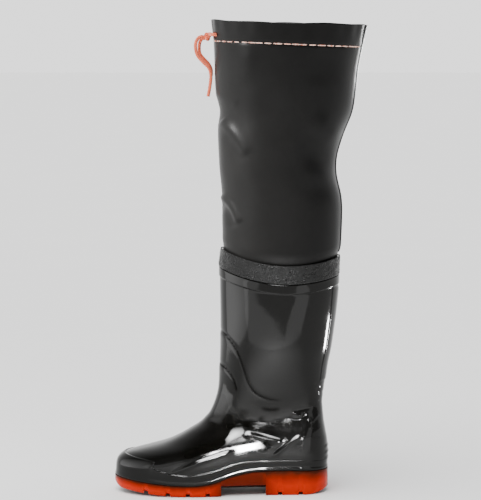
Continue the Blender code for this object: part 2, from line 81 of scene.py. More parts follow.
# Sizes of the wader
LENGTH = 0.302
BALL_WIDTH = 0.106
HEEL_SEAT = 0.034
BOOT_TOP = 0.325
LEG_TOP = 0.6625
CALF_WIDTH = 0.116
COLLAR_WIDTH = 0.160
RUBBER_WALL = 0.0024
CLOTH_WALL = 0.0011
GAP = 0.0003
STEP_RUN = 0.0012
GROOVE_DEPTH = 0.0008
GROOVE_WIDTH = 0.0026
FIRST_CUT = 0.0015        # the outsole's first section, a share of LENGTH
TOE_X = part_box("outsole")[0].x - FIRST_CUT * LENGTH

# Outsole
SIDE_LIP = 0.0008
TOE_SPRING = 0.009
SPRING_LENGTH = 0.100
TOE_BEVEL_RISE = 0.006
TOE_BEVEL_LENGTH = 0.012
HEEL_BEVEL_RISE = 0.007
HEEL_BEVEL_LENGTH = 0.036
ARCH_START = 0.151
HEEL_BREAST = 0.2135
ARCH_EDGE = 0.0145
SHANK_HEIGHT = 0.0085
LUG_GAP = 0.006
LUG_DEPTH = 0.004
LUG_GAPS = (0.0460, 0.0767, 0.1047, 0.1322, 0.2335, 0.2625)
SIDE_TAPER = 0.003
SIDE_ROUND = 0.0016
RIB_HEIGHT = 0.0010
RIB_WIDTH = 0.0026
RIB_PITCH = 0.0068
RIB_COUNT = 4
RIB_START = 0.180
SOFT_EDGE = 0.0004

# Steps in the boot's wall
FOXING_STEP = 0.0010
TOE_GUARD_STEP = 0.0018
STAY_STEP = 0.0009
STAY_BOTTOM = 0.158
STAY_TOP = (0.290, 0.2915)
RIM_STEP = 0.0011
RIM_HEIGHT = 0.0140
GUARD_END = 48.3
STAY_EDGE = 152.7
TOE_GUARD_RISE = 0.90

# Joint, collar and drawstring
BAND_WIDTH = 0.026
BAND_THICKNESS = 0.0011
BAND_FRONT = 0.3458
BAND_BACK = 0.3352
BAND_DIP = 0.0140
BAND_LAP = 0.0012
LEG_LAP = 0.026
LEG_EASE = 0.016
HEM_HEIGHT = 0.030
HEM_THICKNESS = 0.0011
SEAM_THICKNESS = 0.0010
SEAM_HALF_ANGLE = 9.0
HOLE_RADIUS = 0.0026
HOLE_DROP = 0.0210
HOLE_ANGLE = 17.5
CORD_DIAMETER = 0.0046
HEM_STITCH = (0.0119, 0.0013)        # length and thickness
HEM_STITCH_PITCH = 0.0122
SEAM_STITCH = (0.0028, 0.0006)
SEAM_STITCH_PITCH = 0.0038
SEAM_STITCH_LINES = (-0.72, 0.72)   # shares of the strip's half width

# Sections of the wader's outer form, from the sole up to the collar
Section = namedtuple("Section", "front_x front_z back_x back_z foot nose oval wide follow")
SECTIONS = tuple(Section(*row) for row in (
    (0.01, 0.074, 0.994, 0.102, 0.97, 0.24, 0.0, 0.62, 1.0),
    (0.011, 0.111, 0.998, 0.138, 1.0, 0.24, 0.0, 0.62, 0.96),
    (0.018, 0.142, 1.0, 0.172, 1.01, 0.25, 0.0, 0.62, 0.88),
    (0.04, 0.163, 0.998, 0.203, 1.0, 0.28, 0.0, 0.63, 0.76),
    (0.076, 0.178, 0.995, 0.234, 0.98, 0.32, 0.0, 0.63, 0.6),
    (0.124, 0.191, 0.99, 0.258, 0.96, 0.37, 0.0, 0.64, 0.45),
    (0.227, 0.218, 0.985, 0.285, 0.92, 0.44, 0.02, 0.64, 0.28),
    (0.298, 0.245, 0.98, 0.311, 0.88, 0.48, 0.07, 0.65, 0.14),
    (0.35, 0.271, 0.977, 0.338, 0.84, 0.5, 0.16, 0.66, 0.05),
    (0.397, 0.298, 0.974, 0.366, 0.8, 0.52, 0.3, 0.67, 0.0),
    (0.425, 0.324, 0.972, 0.394, 0.78, 0.54, 0.46, 0.68, 0.0),
    (0.448, 0.351, 0.974, 0.418, 0.76, 0.56, 0.62, 0.7, 0.0),
    (0.472, 0.404, 0.979, 0.455, 0.75, 0.58, 0.82, 0.74, 0.0),
    (0.486, 0.457, 0.986, 0.502, 0.75, 0.6, 0.95, 0.78, 0.0),
))
# Higher up they are plain ovals
SECTIONS += tuple(Section(*place, 0.75, 0.6, 1.0, wide, 0.0) for *place, wide in (
    (0.491, 0.535, 0.995, 0.563, 0.85), (0.495, 0.64, 1.012, 0.64, 0.93),
    (0.496, 0.748, 1.028, 0.748, 0.98), (0.495, 0.834, 1.037, 0.825, 1.0),
    (0.493, 0.92, 1.044, 0.908, 1.0), (0.493, 1.0, 1.046, 1.0, 1.02),
    (0.505, 1.092, 1.052, 1.092, 1.08), (0.506, 1.196, 1.053, 1.19, 1.16),
    (0.504, 1.281, 1.049, 1.275, 1.22), (0.492, 1.406, 1.026, 1.4, 1.3),
    (0.485, 1.53, 1.058, 1.522, 1.46), (0.491, 1.63, 1.1, 1.622, 1.6),
    (0.473, 1.72, 1.116, 1.71, 1.72), (0.47, 1.815, 1.127, 1.803, 1.82),
    (0.466, 1.898, 1.143, 1.88, 1.9), (0.456, 2.0, 1.162, 1.976, 2.0),
))
TOP_LEVEL = len(SECTIONS) - 1
FOOT_OUTLINE = (
    (0.0, 0.82, 0.9), (0.1, 0.87, 0.95), (0.2, 0.95, 1.0), (0.3, 1.0, 1.0),
    (0.4, 1.0, 0.93), (0.5, 0.93, 0.81), (0.6, 0.84, 0.71), (0.7, 0.77, 0.68),
    (0.8, 0.74, 0.7), (0.9, 0.72, 0.71), (1.0, 0.7, 0.7),
)
TOE_ROUND = 0.24
HEEL_ROUND = 0.14
ROUND_POWER = 2.25
SOLE_TOP = ((0.0, 0.7), (0.1, 0.63), (0.2, 0.54), (0.3, 0.48), (0.38, 0.47), (0.46, 0.57),
            (0.55, 0.83), (0.63, 0.98), (0.75, 1.03), (0.88, 1.02), (1.0, 0.98))
FOXING = ((0.172, 0.66, 1.0), (0.25, 0.5, 1.0), (0.34, 0.44, 1.0), (0.44, 0.52, 1.0),
          (0.54, 0.52, 0.9), (0.62, 0.48, 0.6), (0.7, 0.44, 0.3), (1.0, 0.42, 0.3))


def metres(rows):
    """Millimetres of a table as metres."""
    return tuple(metres(row) if isinstance(row, tuple) else row / 1000 for row in rows)


# The cord's routes in mm from the front of the collar's edge: ahead, to the outer side, below
LEAD = metres((
    (-7.5, 23.2, 21.2), (-4.3, 24.6, 21.2), (-1.8, 22, 21.2), (-0.7, 16, 21.1), (0.9, 10, 20.8),
    (2.5, 5.1, 20.5),
))
KNOT = metres((5, 0, 23.5))
KNOT_REACH = metres((3, 2.2, 4.4))
LONG_TAIL = metres((
    (9.6, 0.5, 24.5), (13.6, 1.2, 24), (18.3, 1.8, 26.4), (21.4, 2.4, 32.5), (21.8, 2.6, 40),
    (19, 2.8, 50), (11, 3, 59.5), (3.4, 3, 67.2), (0.6, 3, 77), (1.8, 3, 91), (4.6, 3.4, 106.5),
))
SHORT_TAIL = metres((
    (8.5, -1.4, 26.2), (13, -2.8, 27.2), (16.2, -3.6, 33), (16.8, -3.8, 40.5), (15.6, -3.8, 48),
    (10, -3.8, 55), (4, -3.6, 61.5), (0.4, -3.6, 69), (0.2, -3.8, 78),
))

# Camera, in the photograph's own frame of 481 by 500 pixels
CAMERA_DISTANCE = 2.60
CAMERA_HEIGHT = 0.640
CAMERA_PITCH = 6.545
FOCAL_PIXELS = 1869.6
FRAME_HEIGHT_PIXELS = 500
SENSOR = 36.0
CAMERA_SHIFT = 0.0017        # from the middle of the solids
FLOOR_REACH = 30.0
FLOOR_DROP = -0.0002


def smooth(table, position):
    """Catmull-Rom values of a table's rows at fractional row numbers."""
    rows = np.asarray(table, float)
    position = np.asarray(position, float)
    low = np.clip(np.floor(position), 0, len(rows) - 2).astype(int)
    t = (position - low)[..., None]
    before, start = rows[np.maximum(low - 1, 0)], rows[low]
    end, after = rows[low + 1], rows[np.minimum(low + 2, len(rows) - 1)]
    return start + 0.5 * t * (end - before + t * (
        2 * before - 5 * start + 4 * end - after + t * (3 * (start - end) + after - before)))


def along_table(table, along):
    places = [row[0] for row in table]
    return smooth(table, np.interp(along, places, np.arange(len(table))))


def rounded_end(share):
    share = np.clip(share, 0.0, 1.0)
    return (1 - (1 - share) ** ROUND_POWER) ** (1 / ROUND_POWER)


def half_outline(x, side):
    row = along_table(FOOT_OUTLINE, np.clip(x / LENGTH, 0.0, 1.0))
    return BALL_WIDTH / 2 * np.where(side < 0, row[..., 1], row[..., 2])


def section_height(value):
    return np.where(value <= 1, value * BOOT_TOP, BOOT_TOP + (value - 1) * (LEG_TOP - BOOT_TOP))


def section_width(value):
    more = CALF_WIDTH + (value - 1) * (COLLAR_WIDTH - CALF_WIDTH)
    return np.where(value <= 1, value * CALF_WIDTH, more)


def sole_top(x):
    """Height of the outsole's top edge."""
    return HEEL_SEAT * along_table(SOLE_TOP, np.clip(x / LENGTH, 0.0, 1.0))[..., 1]


def side_of(theta):
    """-1 on the outer side, 1 on the inner."""
    return np.where(theta % (2 * math.pi) < math.pi, -1, 1)


def surface(theta, level):
    """Points of the wader's outer form: theta from the toe over the outer side, level a row."""
    theta, level = np.broadcast_arrays(np.asarray(theta, float), np.asarray(level, float))
    row = smooth(SECTIONS, level)
    side = side_of(theta)
    share = (1 - np.cos(theta)) / 2
    front, back = row[..., 0] * LENGTH, row[..., 2] * LENGTH
    x = front + (back - front) * share
    foot = row[..., 4] * half_outline(x, side)
    foot = foot * rounded_end(share / row[..., 5]) * rounded_end((1 - share) / HEEL_ROUND)
    oval = section_width(row[..., 7]) / 2 * np.abs(np.sin(theta))
    y = side * ((1 - row[..., 6]) * foot + row[..., 6] * oval)
    low, high = section_height(row[..., 1]), section_height(row[..., 3])
    toe_end, heel_end = (sole_top(end * LENGTH) for end in (SECTIONS[0].front_x, SECTIONS[0].back_x))
    chord = toe_end + (heel_end - toe_end) * share
    z = low + (high - low) * share + row[..., 8] * (sole_top(x) - chord)
    return np.stack([x, y, z], axis=-1)


def collar_height(theta):
    """Height of the collar's edge."""
    return surface(theta, np.full(theta.shape, float(TOP_LEVEL)))[..., 2]


def unit(vectors):
    return vectors / np.linalg.norm(vectors, axis=-1, keepdims=True)


def shell(theta, level, offset):
    """The surface moved along its outward normal."""
    turn, rise = math.radians(1.5), 0.05
    theta, level = np.broadcast_arrays(np.asarray(theta, float), np.asarray(level, float))
    down, up = np.maximum(level - rise, 0), np.minimum(level + rise, TOP_LEVEL)
    across = surface(theta + turn, level) - surface(theta - turn, level)
    normal = unit(np.cross(across, surface(theta, up) - surface(theta, down)))
    return surface(theta, level) + normal * np.asarray(offset, float)[..., None]


def level_at(theta, height):
    """The levels at which columns of the surface reach given heights."""
    theta, height = np.broadcast_arrays(np.asarray(theta, float), np.asarray(height, float))
    low, high = np.zeros(theta.shape), np.full(theta.shape, float(TOP_LEVEL))
    for _ in range(20):
        middle = (low + high) / 2
        below = surface(theta, middle)[..., 2] < height
        low, high = np.where(below, middle, low), np.where(below, high, middle)
    return (low + high) / 2


def turned_back(theta):
    """Angle from the toe, 0 to 180 degrees, whichever side."""
    angle = np.degrees(theta) % 360
    return np.minimum(angle, 360 - angle)


def ramp(value, low, high):
    """0 below low, 1 above high, smooth between."""
    t = np.clip((value - low) / (high - low), 0, 1)
    return t * t * (3 - 2 * t)


def edge_height(theta, drop):
    """Height on the joint: the band's top edge less a drop, sagging at the sides."""
    share = (1 - np.cos(theta)) / 2
    line = BAND_FRONT + (BAND_BACK - BAND_FRONT) * share
    return line - BAND_DIP * 4 * share * (1 - share) - drop


def joint_level(theta, drop):
    return level_at(theta, edge_height(theta, drop))


def seat_x(theta):
    first = SECTIONS[0]
    return LENGTH * (first.front_x + (first.back_x - first.front_x) * (1 - np.cos(theta)) / 2)


def foxing_edge(theta):
    """Height of the foxing's or toe guard's edge, and its step."""
    x = seat_x(theta)
    rows = np.asarray(FOXING)
    rise = np.interp(x / LENGTH, rows[:, 0], rows[:, 1])
    strength = np.interp(x / LENGTH, rows[:, 0], rows[:, 2])
    guard = 1 - ramp(turned_back(theta), GUARD_END - 1.1, GUARD_END + 1.1)
    rise = rise + (TOE_GUARD_RISE - rise) * guard
    step = strength * FOXING_STEP * (1 - guard) + TOE_GUARD_STEP * guard
    return sole_top(x) + rise * HEEL_SEAT, step


def lumps(points, size, seed):
    """Soft random height between -1 and 1 at points, from a few sine waves."""
    rng = np.random.default_rng(seed)
    total = np.zeros(points.shape[:-1])
    for _ in range(7):
        direction = rng.normal(size=3)
        direction *= (2 * math.pi / size) * rng.uniform(0.6, 1.4) / np.linalg.norm(direction)
        total += np.sin(points @ direction + rng.uniform(0, 2 * math.pi))
    return total / 7 ** 0.5 * 0.7


def near_line(x, z, line):
    """Distance from (x, z) to a smooth line, the share along it, and which side it lies on."""
    points = smooth(np.asarray(line), np.linspace(0, len(line) - 1, 8 * (len(line) - 1) + 1))
    best = np.full(x.shape, 1e9)
    along, signed = np.zeros(x.shape), np.zeros(x.shape)
    for i, (start, end) in enumerate(zip(points, points[1:])):
        run = end - start
        t = np.clip(((x - start[0]) * run[0] + (z - start[1]) * run[1]) / (run @ run), 0, 1)
        dx, dz = x - start[0] - t * run[0], z - start[1] - t * run[1]
        far = np.hypot(dx, dz)
        closer = far < best
        best = np.where(closer, far, best)
        along = np.where(closer, (i + t) / (len(points) - 1), along)
        signed = np.where(closer, np.sign(run[0] * dz - run[1] * dx), signed)
    return best, along, signed


# A crease is a soft trough or ridge along a line of (x, z), on one side or both. Narrow ones
# fade only near their ends. These tables are in mm
Crease = namedtuple("Crease", "line width height sides")
OUTER, INNER, BOTH = (-1,), (1,), (-1, 1)
SHIN_LINES = metres((
    ((144, 230), (155.5, 226), (166, 216), (174.5, 202), (182.5, 179.5), (190, 158.5),
     (200.5, 145.5), (218, 137.2), (240, 135)),
    ((144, 183.5), (156, 178.5), (164, 170.5), (170, 159), (173.5, 144)),
))
# Lines of painted shade that only darken the boot, with no fold in its shape: line, half width,
# depth. A depth over 1 widens the dark middle
PAINTED_SHADE_LINES = tuple((*metres(sizes), depth) for *sizes, depth in (
    (((205, 125), (220, 121.5), (235, 122.5)), 3, 0.7),
    (((204, 112), (208, 105), (217, 96)), 4, 0.75),
    (((203, 101), (218, 90), (234, 80)), 4.5, 0.75),
    (((170, 99), (180, 111), (185, 125)), 9, 0.6),
    (((90, 54.5), (113.9, 63.2), (146, 74.8), (166, 81.5)), 7, 1.5),
    (((150, 95.5), (164, 97.5), (186, 100), (200, 101)), 8, 1.0),
    (((209, 79.5), (214, 72), (219, 65)), 9.5, 1.0),
    (((190, 101), (206, 99.5), (224, 96.5)), 5.2, 0.85),
))
BOOT_CREASES = tuple(Crease(*metres(sizes), sides) for *sizes, sides in (
    (((200, 125), (213, 119.5), (233, 107)), 6, -0.2, BOTH),
    (((186, 113), (205, 108), (233, 96)), 6, -0.2, BOTH),
    (((250, 120), (264, 121.5), (280, 124)), 4, -0.5, BOTH),
    (((251, 115), (257, 113), (264, 112)), 5, 0.5, OUTER),
    (((288, 113), (280, 106), (276, 93)), 3, 0.5, OUTER),
    (((269, 114), (274, 108), (278, 102)), 2.8, 0.5, OUTER),
    (((242, 113), (260, 106), (276, 104)), 5, -1, INNER),
    (((284, 150), (290, 143), (296, 141)), 3.2, -0.4, BOTH),
    (((282, 158), (289, 153), (298, 153)), 3.2, -0.3, BOTH),
    (((133, 106), (148, 93), (160, 84)), 11, -0.7, BOTH),
    (((185, 88), (212, 81), (237, 74.5)), 4.2, 0.9, OUTER),
    (((223, 55), (240, 69), (262, 85)), 2.6, 0.8, OUTER),
    (((72, 30), (95, 39.5), (114, 47.5), (132.4, 53.7), (151.5, 60), (169.5, 65)), 3.6, 1, OUTER),
))
HEEL_RIBS = (0.049, 0.0575, 0.066)
HEEL_RIB_HEIGHT = 0.0008
HEEL_RIB_WIDTH = 0.0022
NARROW_CREASE = 0.009
LEG_CREASES = tuple(Crease(*metres(sizes), sides) for *sizes, sides in (
    (((140, 559), (156, 556), (175, 548)), 8, 0.8, BOTH),
    (((143, 540), (160, 534), (180, 527)), 13, -1.6, BOTH),
    (((150, 523.5), (166, 509), (188, 478)), 8.5, 2.2, BOTH),
    (((152, 502), (168, 489), (185, 468)), 10, -1.2, BOTH),
    (((151, 419), (165, 407), (176, 383)), 6.6, 2.4, OUTER),
    (((152, 405), (162, 396), (169, 376)), 7.5, -1.5, OUTER),
    (((270, 530), (295, 513), (320, 501)), 20, 4.4, BOTH),
    (((260, 495), (286, 480), (312, 470)), 22, -1.6, BOTH),
    (((250, 456), (280, 453), (312, 448)), 20, 1.6, BOTH),
    (((255, 433), (285, 430), (316, 429)), 16, -0.8, BOTH),
    (((210, 490), (218, 530), (225, 590)), 24, -1.6, OUTER),
    (((180, 570), (185, 600), (188, 630)), 20, 1.8, BOTH),
    (((280, 570), (285, 600), (295, 630)), 22, -1.4, BOTH),
    (((200, 360), (205, 400), (200, 450)), 25, 1.6, BOTH),
))


def creased(points, side, creases):
    """Height of the creases at points of the surface."""
    x, z = points[..., 0], points[..., 2]
    total = np.zeros(x.shape)
    for crease in creases:
        far, along, _ = near_line(x, z, crease.line)
        end = 0.15 if crease.width < NARROW_CREASE else 0.40
        fade = ramp(along, 0.0, end) * ramp(1 - along, 0.0, end)
        here = np.isin(side, crease.sides)
        total += np.where(here, crease.height * fade * np.exp(-(far / crease.width) ** 2 * 1.6), 0)
    return total


def placed(points):
    """From toe-based x to the frame."""
    moved = np.array(points, float)
    moved[..., 0] += TOE_X
    return moved


def show(name, data):
    """An object of this data, linked into the scene."""
    item = bpy.data.objects.new(name, data)
    bpy.context.scene.collection.objects.link(item)
    return item


def grid_faces(rows, columns, closed_up):
    """Faces of a grid that is closed round, and from last row to first or else capped."""
    index = np.arange(rows * columns).reshape(rows, columns)
    lower = index if closed_up else index[:-1]
    upper = np.roll(index, -1, axis=0) if closed_up else index[1:]
    corners = [lower, np.roll(lower, -1, axis=1), np.roll(upper, -1, axis=1), upper]
    faces = np.stack(corners, axis=-1).reshape(-1, 4).tolist()
    return faces if closed_up else faces + [index[0][::-1].tolist(), index[-1].tolist()]


def grid_object(name, grid, closed_up, material):
    """A mesh from a grid of rows by columns."""
    faces = grid_faces(*grid.shape[:2], closed_up)
    return mesh_object(name, placed(grid).reshape(-1, 3), faces, material)


def mesh_object(name, vertices, faces, material, body="root"):
    data = bpy.data.meshes.new(name)
    data.from_pydata([tuple(v) for v in vertices], [], faces)
    data.update()
    mesh = bmesh.new()
    mesh.from_mesh(data)
    bmesh.ops.recalc_face_normals(mesh, faces=mesh.faces)
    mesh.to_mesh(data)
    mesh.free()
    data.shade_smooth()
    data.materials.append(material)
    item = show(name, data)
    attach(item, body)
    return item


def vertex_places(item):
    return np.array([vertex.co for vertex in item.data.vertices])


def write_map(item, name, across, up):
    """A UV map from two values at each vertex."""
    layer = item.data.uv_layers.new(name=name)
    corners = np.array([loop.vertex_index for loop in item.data.loops])
    layer.data.foreach_set("uv", np.stack([across, up], axis=1)[corners].ravel())


def column_angles(step):
    """Column angles once round, closer at the toe guard's and the back stay's edges."""
    half = np.arange(0, 180.001, step)
    for edge in (GUARD_END, STAY_EDGE):
        half = [angle for angle in half if abs(angle - edge) > 1.5]
        half += list(edge + np.array([-1.3, -0.85, -0.45, 0.0, 0.45, 0.85, 1.3]))
    half = np.array(sorted(half))
    return np.radians(np.concatenate([half, (360 - half[1:-1])[::-1]]))


def boot_relief(theta, level):
    """All steps, ridges and creases of the boot's outside."""
    points = surface(theta, level)
    x, z = points[..., 0], points[..., 2]
    side = side_of(theta)
    back = turned_back(theta)
    edge, step = foxing_edge(theta)
    relief = step * (1 - ramp(z, edge - STEP_RUN / 2, edge + STEP_RUN / 2))
    over = edge_height(theta, 0.0) - z
    rim = ramp(over, BAND_WIDTH, BAND_WIDTH + STEP_RUN) * (
        1 - ramp(over, BAND_WIDTH + RIM_HEIGHT - STEP_RUN, BAND_WIDTH + RIM_HEIGHT))
    stay = ramp(back, STAY_EDGE - 0.9, STAY_EDGE + 0.9) * ramp(z, STAY_BOTTOM, STAY_BOTTOM + 0.004)
    stay = stay * (1 - ramp(z, *STAY_TOP))
    relief = np.maximum(relief, STAY_STEP * stay)
    relief = np.maximum(relief, RIM_STEP * rim)
    for line in SHIN_LINES:
        far, along, which = near_line(x, z, line)
        fade = 1 - ramp(along, 0.80, 1.0)
        lip = np.where(which < 0, GROOVE_DEPTH * np.exp(-far / 0.012), 0.0)
        dip = GROOVE_DEPTH * np.exp(-(far / GROOVE_WIDTH) ** 2)
        relief += fade * (lip - dip) * ramp(z, 0.126, 0.136)
    relief += creased(points, side, BOOT_CREASES)
    heel = ramp(back, 163, 170)
    for height in HEEL_RIBS:
        relief += HEEL_RIB_HEIGHT * heel * np.exp(-((z - height) / HEEL_RIB_WIDTH) ** 2)
    roll = (z - sole_top(seat_x(theta)) - 0.0030) / 0.0018
    relief += 0.0012 * np.exp(-roll ** 2)
    hidden = ramp(over, BAND_WIDTH, BAND_WIDTH + 0.004)
    relief += 0.00035 * lumps(points, 0.055, 3) * hidden * ramp(z, 0.045, 0.065)
    return relief


def boot_levels(theta):
    """Levels of the boot's outer rows, closer at its steps."""
    edge, _ = foxing_edge(theta)
    seat = sole_top(seat_x(theta))
    rows = [np.zeros(theta.shape)]
    rows += [level_at(theta, seat + (edge - seat) * share) for share in np.linspace(0.08, 0.92, 9)]
    shares = (-0.7, -0.45, -0.2, 0.0, 0.2, 0.45, 0.7)
    rows += [level_at(theta, edge + STEP_RUN * share) for share in shares]
    low, high = rows[-1], joint_level(theta, BAND_WIDTH + RIM_HEIGHT + 0.0006)
    rows += [low + (high - low) * share for share in np.linspace(0, 1, 196)[1:]]
    drops = [RIM_HEIGHT - STEP_RUN * share for share in (0.2, 0.5, 0.8, 1.1)]
    drops += list(np.linspace(RIM_HEIGHT - 2 * STEP_RUN, 2 * STEP_RUN, 5))
    drops += [STEP_RUN * share for share in (1.2, 0.9, 0.6, 0.3, 0.0)]
    rows += [joint_level(theta, BAND_WIDTH + drop) for drop in drops]
    rows += [joint_level(theta, BAND_LAP)]
    return np.array(rows)


def seated(row):
    row = row.copy()
    row[..., 2] = sole_top(row[..., 0]) + GAP
    return row


def paint_groove_shade(boot):
    """A map of painted shade on the boot: over 0 in the shin's grooves and, on the outer side, along
    the painted shade lines.
    """
    places = vertex_places(boot)
    x, z = places[:, 0] - TOE_X, places[:, 2]
    share = np.zeros(x.shape)
    for line in SHIN_LINES:
        far, along, _ = near_line(x, z, line)
        share = np.maximum(share, np.exp(-(far / 0.0016) ** 2) * (1 - ramp(along, 0.86, 1.0)))
    for line, width, depth in PAINTED_SHADE_LINES:
        far, along, _ = near_line(x, z, line)
        fade = ramp(along, 0.0, 0.3) * ramp(1 - along, 0.0, 0.3)
        share = np.maximum(share, (places[:, 1] < 0) * depth * fade * np.exp(-(far / width) ** 2))
    write_map(boot, "groove", share, 0 * share)


def make_boot(material):
    theta = column_angles(1.25)
    levels = boot_levels(theta)
    outer = shell(theta, levels, boot_relief(theta[None, :] + 0 * levels, levels))
    outer[0] = seated(outer[0])
    kept = np.vstack([levels[:1], levels[4:-12:5], levels[-6:-5], levels[-1:]])
    inner = shell(theta, kept, np.full(kept.shape, -RUBBER_WALL))
    inner[0] = seated(inner[0])
    boot = grid_object("boot", np.vstack([outer, inner[::-1]]), True, material)
    paint_groove_shade(boot)
    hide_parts("boot_upper")


def leg_offset(theta, height):
    """How far the leg lies inside the outer form: under the boot's wall, then easing out."""
    top = edge_height(theta, BAND_LAP)
    return -(RUBBER_WALL + GAP) * (1 - ramp(height, top, top + LEG_EASE))


def leg_relief(theta, points):
    """Folds of the leg, its puckered hem line and soft lumps."""
    x, z = points[..., 0], points[..., 2]
    side = side_of(theta)
    free = ramp(z, edge_height(theta, -0.006), edge_height(theta, -0.040))
    below = collar_height(theta) - z
    relief = creased(points, side, LEG_CREASES) * free
    relief += 0.0012 * lumps(points, 0.16, 11) * free
    relief += 0.0002 * lumps(points, 0.05, 12) * free
    near_hem = np.exp(-((below - HEM_HEIGHT) / 0.0022) ** 2)
    pucker = np.sin(theta * 47 * 2) * 0.00025 + np.sin(theta * 31 + 1.0) * 0.0002
    relief += near_hem * (-0.0006 + pucker)
    relief += 0.0004 * np.sin(theta * 23 + 0.7) * ramp(-below, -HEM_HEIGHT, -0.004)
    return relief


def leg_levels(theta):
    rows = [joint_level(theta, drop) for drop in (LEG_LAP, 0.012, BAND_LAP)]
    rows += [joint_level(theta, -rise) for rise in (0.002, 0.005, 0.009, 0.013)]
    low = joint_level(theta, -LEG_EASE)
    top = collar_height(theta)
    high = level_at(theta, top - HEM_HEIGHT - 0.004)
    rows += [low + (high - low) * share for share in np.linspace(0, 1, 120)]
    rises = (-0.002, -0.001, 0.0, 0.001, 0.002, 0.004)
    rows += [level_at(theta, top - HEM_HEIGHT + rise) for rise in rises]
    rows += [level_at(theta, top - share * HEM_HEIGHT) for share in np.linspace(0.8, 0.05, 10)]
    rows += [np.full(theta.shape, float(TOP_LEVEL))]
    return np.array(rows)


def collar_wave(theta):
    """The collar's edge isn't quite level."""
    wave = 0.0008 * np.sin(3 * theta + 0.6) + 0.0006 * np.sin(7 * theta)
    return wave - 0.0008 * (1 + np.cos(theta))


def leg_shell(theta, levels, offset):
    """Points of the leg's wall with its folds, offset from its outer face."""
    theta = np.broadcast_to(theta, levels.shape)
    points = surface(theta, levels)
    total = leg_offset(theta, points[..., 2]) + leg_relief(theta, points) + offset
    made = shell(theta, levels, total)
    top = collar_height(theta[0])
    lift = ramp(points[..., 2], top - HEM_HEIGHT, top)
    made[..., 2] += collar_wave(theta) * lift
    return made


def hole_rod(side):
    """A round rod through the leg where the drawstring comes out."""
    theta = np.array([math.radians(HOLE_ANGLE) * -side])
    level = level_at(theta, collar_height(theta) - HOLE_DROP)
    ends = [Vector(placed(shell(theta, level, np.array([reach])))[0]) for reach in (0.006, -0.004)]
    mesh = bmesh.new()
    bmesh.ops.create_cone(mesh, cap_ends=True, segments=32, radius1=HOLE_RADIUS,
                          radius2=HOLE_RADIUS, depth=(ends[0] - ends[1]).length)
    turn = (ends[0] - ends[1]).to_track_quat("Z", "Y").to_matrix().to_4x4()
    turn.translation = (ends[0] + ends[1]) / 2
    bmesh.ops.transform(mesh, matrix=turn, verts=mesh.verts)
    data = bpy.data.meshes.new("hole_rod")
    mesh.to_mesh(data)
    mesh.free()
    return show("hole_rod", data)


def make_leg(material):
    theta = column_angles(1.8)
    levels = leg_levels(theta)
    outer = leg_shell(theta, levels, 0.0)
    inner = leg_shell(theta, levels[::2], -CLOTH_WALL)
    if (len(levels) - 1) % 2:
        inner = np.vstack([inner, leg_shell(theta, levels[-1:], -CLOTH_WALL)])
    leg = grid_object("cloth_leg", np.vstack([outer, inner[::-1]]), True, material)
    for side in (-1, 1):
        rod = hole_rod(side)
        cut = leg.modifiers.new("drawstring_hole", "BOOLEAN")
        cut.operation, cut.object, cut.solver = "DIFFERENCE", rod, "EXACT"
        bpy.context.view_layer.objects.active = leg
        with bpy.context.temp_override(object=leg, active_object=leg):
            bpy.ops.object.modifier_apply(modifier=cut.name)
        bpy.data.objects.remove(rod)
    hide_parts("thigh_leg")


def make_hem(material):
    """The turned-in layer inside the collar."""
    theta = column_angles(2.4)
    levels = leg_levels(theta)[-15:]
    near = -(CLOTH_WALL + GAP)
    outer = leg_shell(theta, levels, near)
    inner = leg_shell(theta, levels, near - HEM_THICKNESS)
    hem = grid_object("hem_facing", np.vstack([outer, inner[::-1]]), True, material)
    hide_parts("collar_hem")


def make_band(material):
    """The rough strip round the weld."""
    theta = column_angles(1.5)
    foot = BAND_WIDTH - GAP
    drops = np.array([foot, *np.linspace(foot - SOFT_EDGE, SOFT_EDGE, 26), 0.0])
    levels = np.array([joint_level(theta, drop) for drop in drops])
    wide = np.broadcast_to(theta, levels.shape)
    points = surface(wide, levels)
    soft = ramp(drops, 0.0, STEP_RUN) * ramp(foot - drops, 0.0, STEP_RUN)
    rough = 0.00022 * lumps(points, 0.0045, 21) + 0.00028 * lumps(points, 0.018, 22)
    outer = shell(wide, levels, GAP + BAND_THICKNESS * (0.55 + 0.45 * soft[:, None]) + rough)
    inner = shell(wide[::5], levels[::5], np.full(levels[::5].shape, GAP))
    band = grid_object("weld_strip", np.vstack([outer, inner[::-1]]), True, material)
    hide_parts("joint_band")


def make_seam(material):
    """The lapped strip down the back of the leg, with its soft edges."""
    turn = np.linspace(180 - SEAM_HALF_ANGLE, 180 + SEAM_HALF_ANGLE, 21)
    theta, across = np.radians(turn), (turn - 180) / SEAM_HALF_ANGLE
    levels = leg_levels(theta)[4:]
    rounded = 1 - np.abs(across) ** 8
    outer = leg_shell(theta, levels, GAP + SEAM_THICKNESS * (0.25 + 0.75 * rounded))
    for line in SEAM_STITCH_LINES:
        dip = np.exp(-((across - line) / 0.07) ** 2)
        outer = outer - 0.0004 * dip[None, :, None] * np.array([1.0, 0.0, 0.0])
    inner = leg_shell(theta, levels, GAP)
    ring = np.concatenate([outer, inner[:, ::-1]], axis=1)
    seam = grid_object("back_strip", ring, False, material)
    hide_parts("back_seam")


